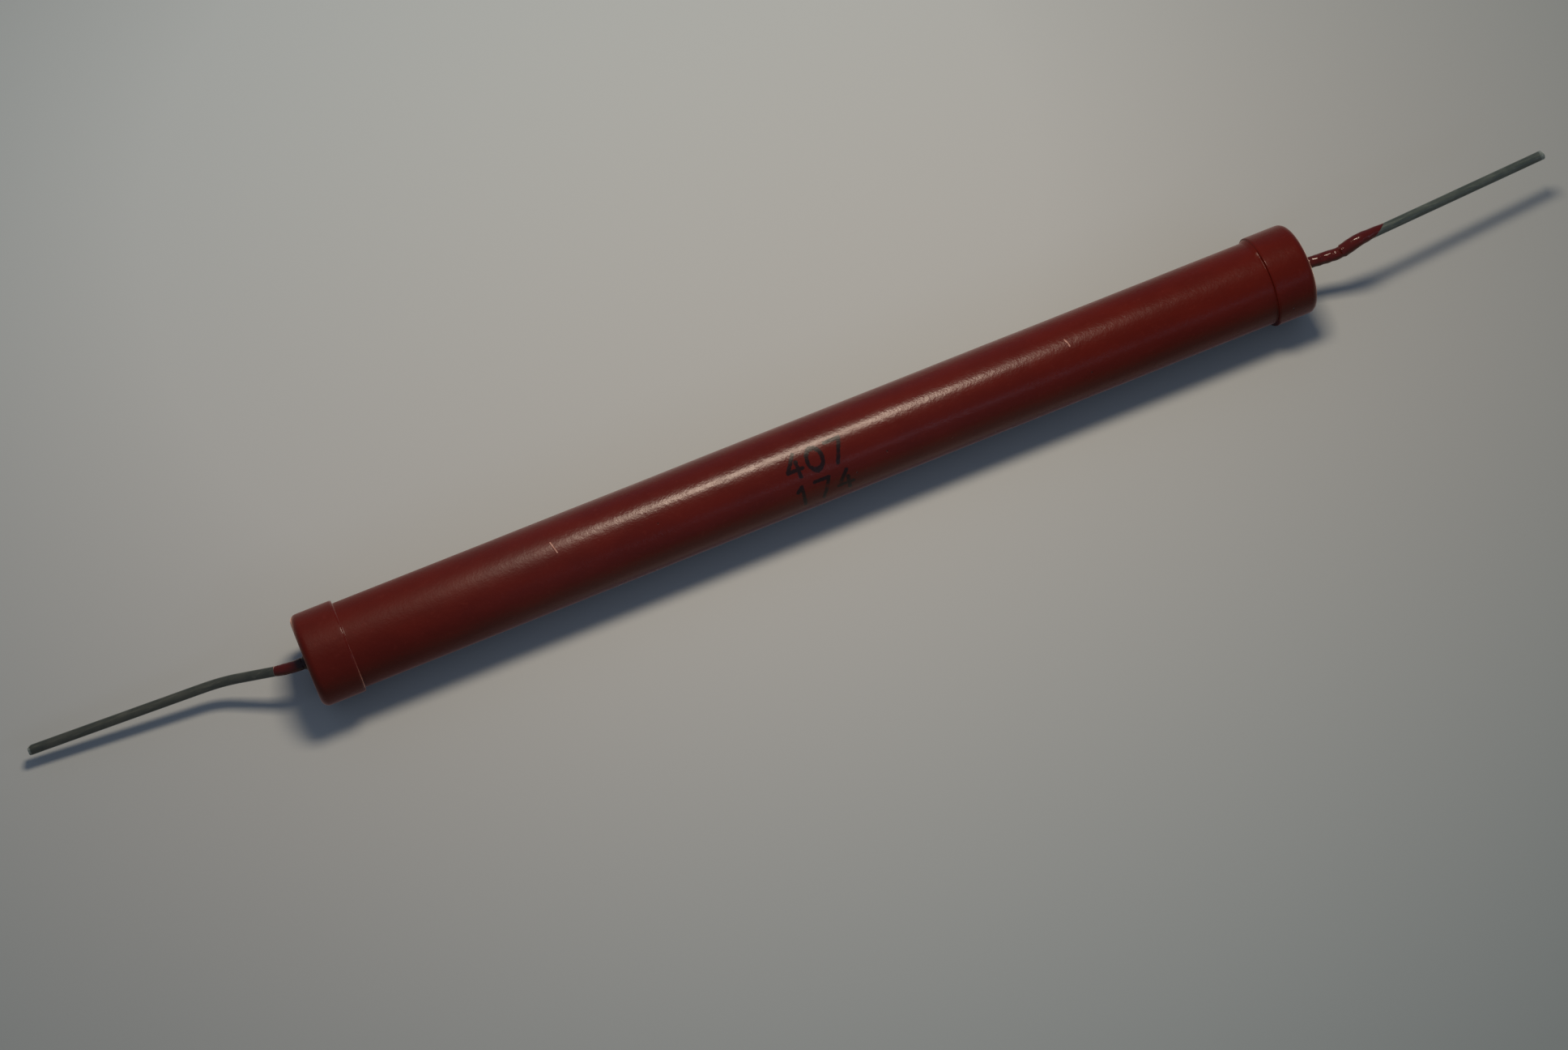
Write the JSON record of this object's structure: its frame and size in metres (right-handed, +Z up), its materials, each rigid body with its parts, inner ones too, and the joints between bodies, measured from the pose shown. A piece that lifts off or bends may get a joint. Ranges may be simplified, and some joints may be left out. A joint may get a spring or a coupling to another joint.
{
  "type": "axial resistor",
  "caption": "Long lacquered axial film resistor for high voltage: slim round body, raised end caps, and a bent wire lead at each end with a run of hardened lacquer.",
  "frame": {"origin": "on the surface that the resistor lies on, straight under the middle of the body", "axes": "+X along the body's axis towards the lead with the kinked neck, +Z up, +Y to the side that the other lead's tip leans to"},
  "size_m": [0.1638, 0.0096, 0.0095],
  "materials": {
    "ceramic": "fine unglazed ceramic, off-white",
    "film": "fired resistive glaze, near black, semi-gloss",
    "termination": "fired silver paste, matt",
    "cap": "tinned steel, drawn, satin",
    "weld": "weld metal, dull",
    "wire": "tinned copper wire, dull grey with handling marks",
    "lacquer": "red-brown insulating lacquer, semi-gloss with pinholes and a worn stamp"
  },
  "bodies": {
    "root": {"ceramic_tube": "ceramic", "resistive_film": "film", "termination_left": "termination", "termination_right": "termination", "end_cap_left": "cap", "end_cap_right": "cap", "weld_left": "weld", "weld_right": "weld", "lead_left": "wire", "lead_right": "wire", "lacquer_coat": "lacquer"}
  },
  "joints": []
}
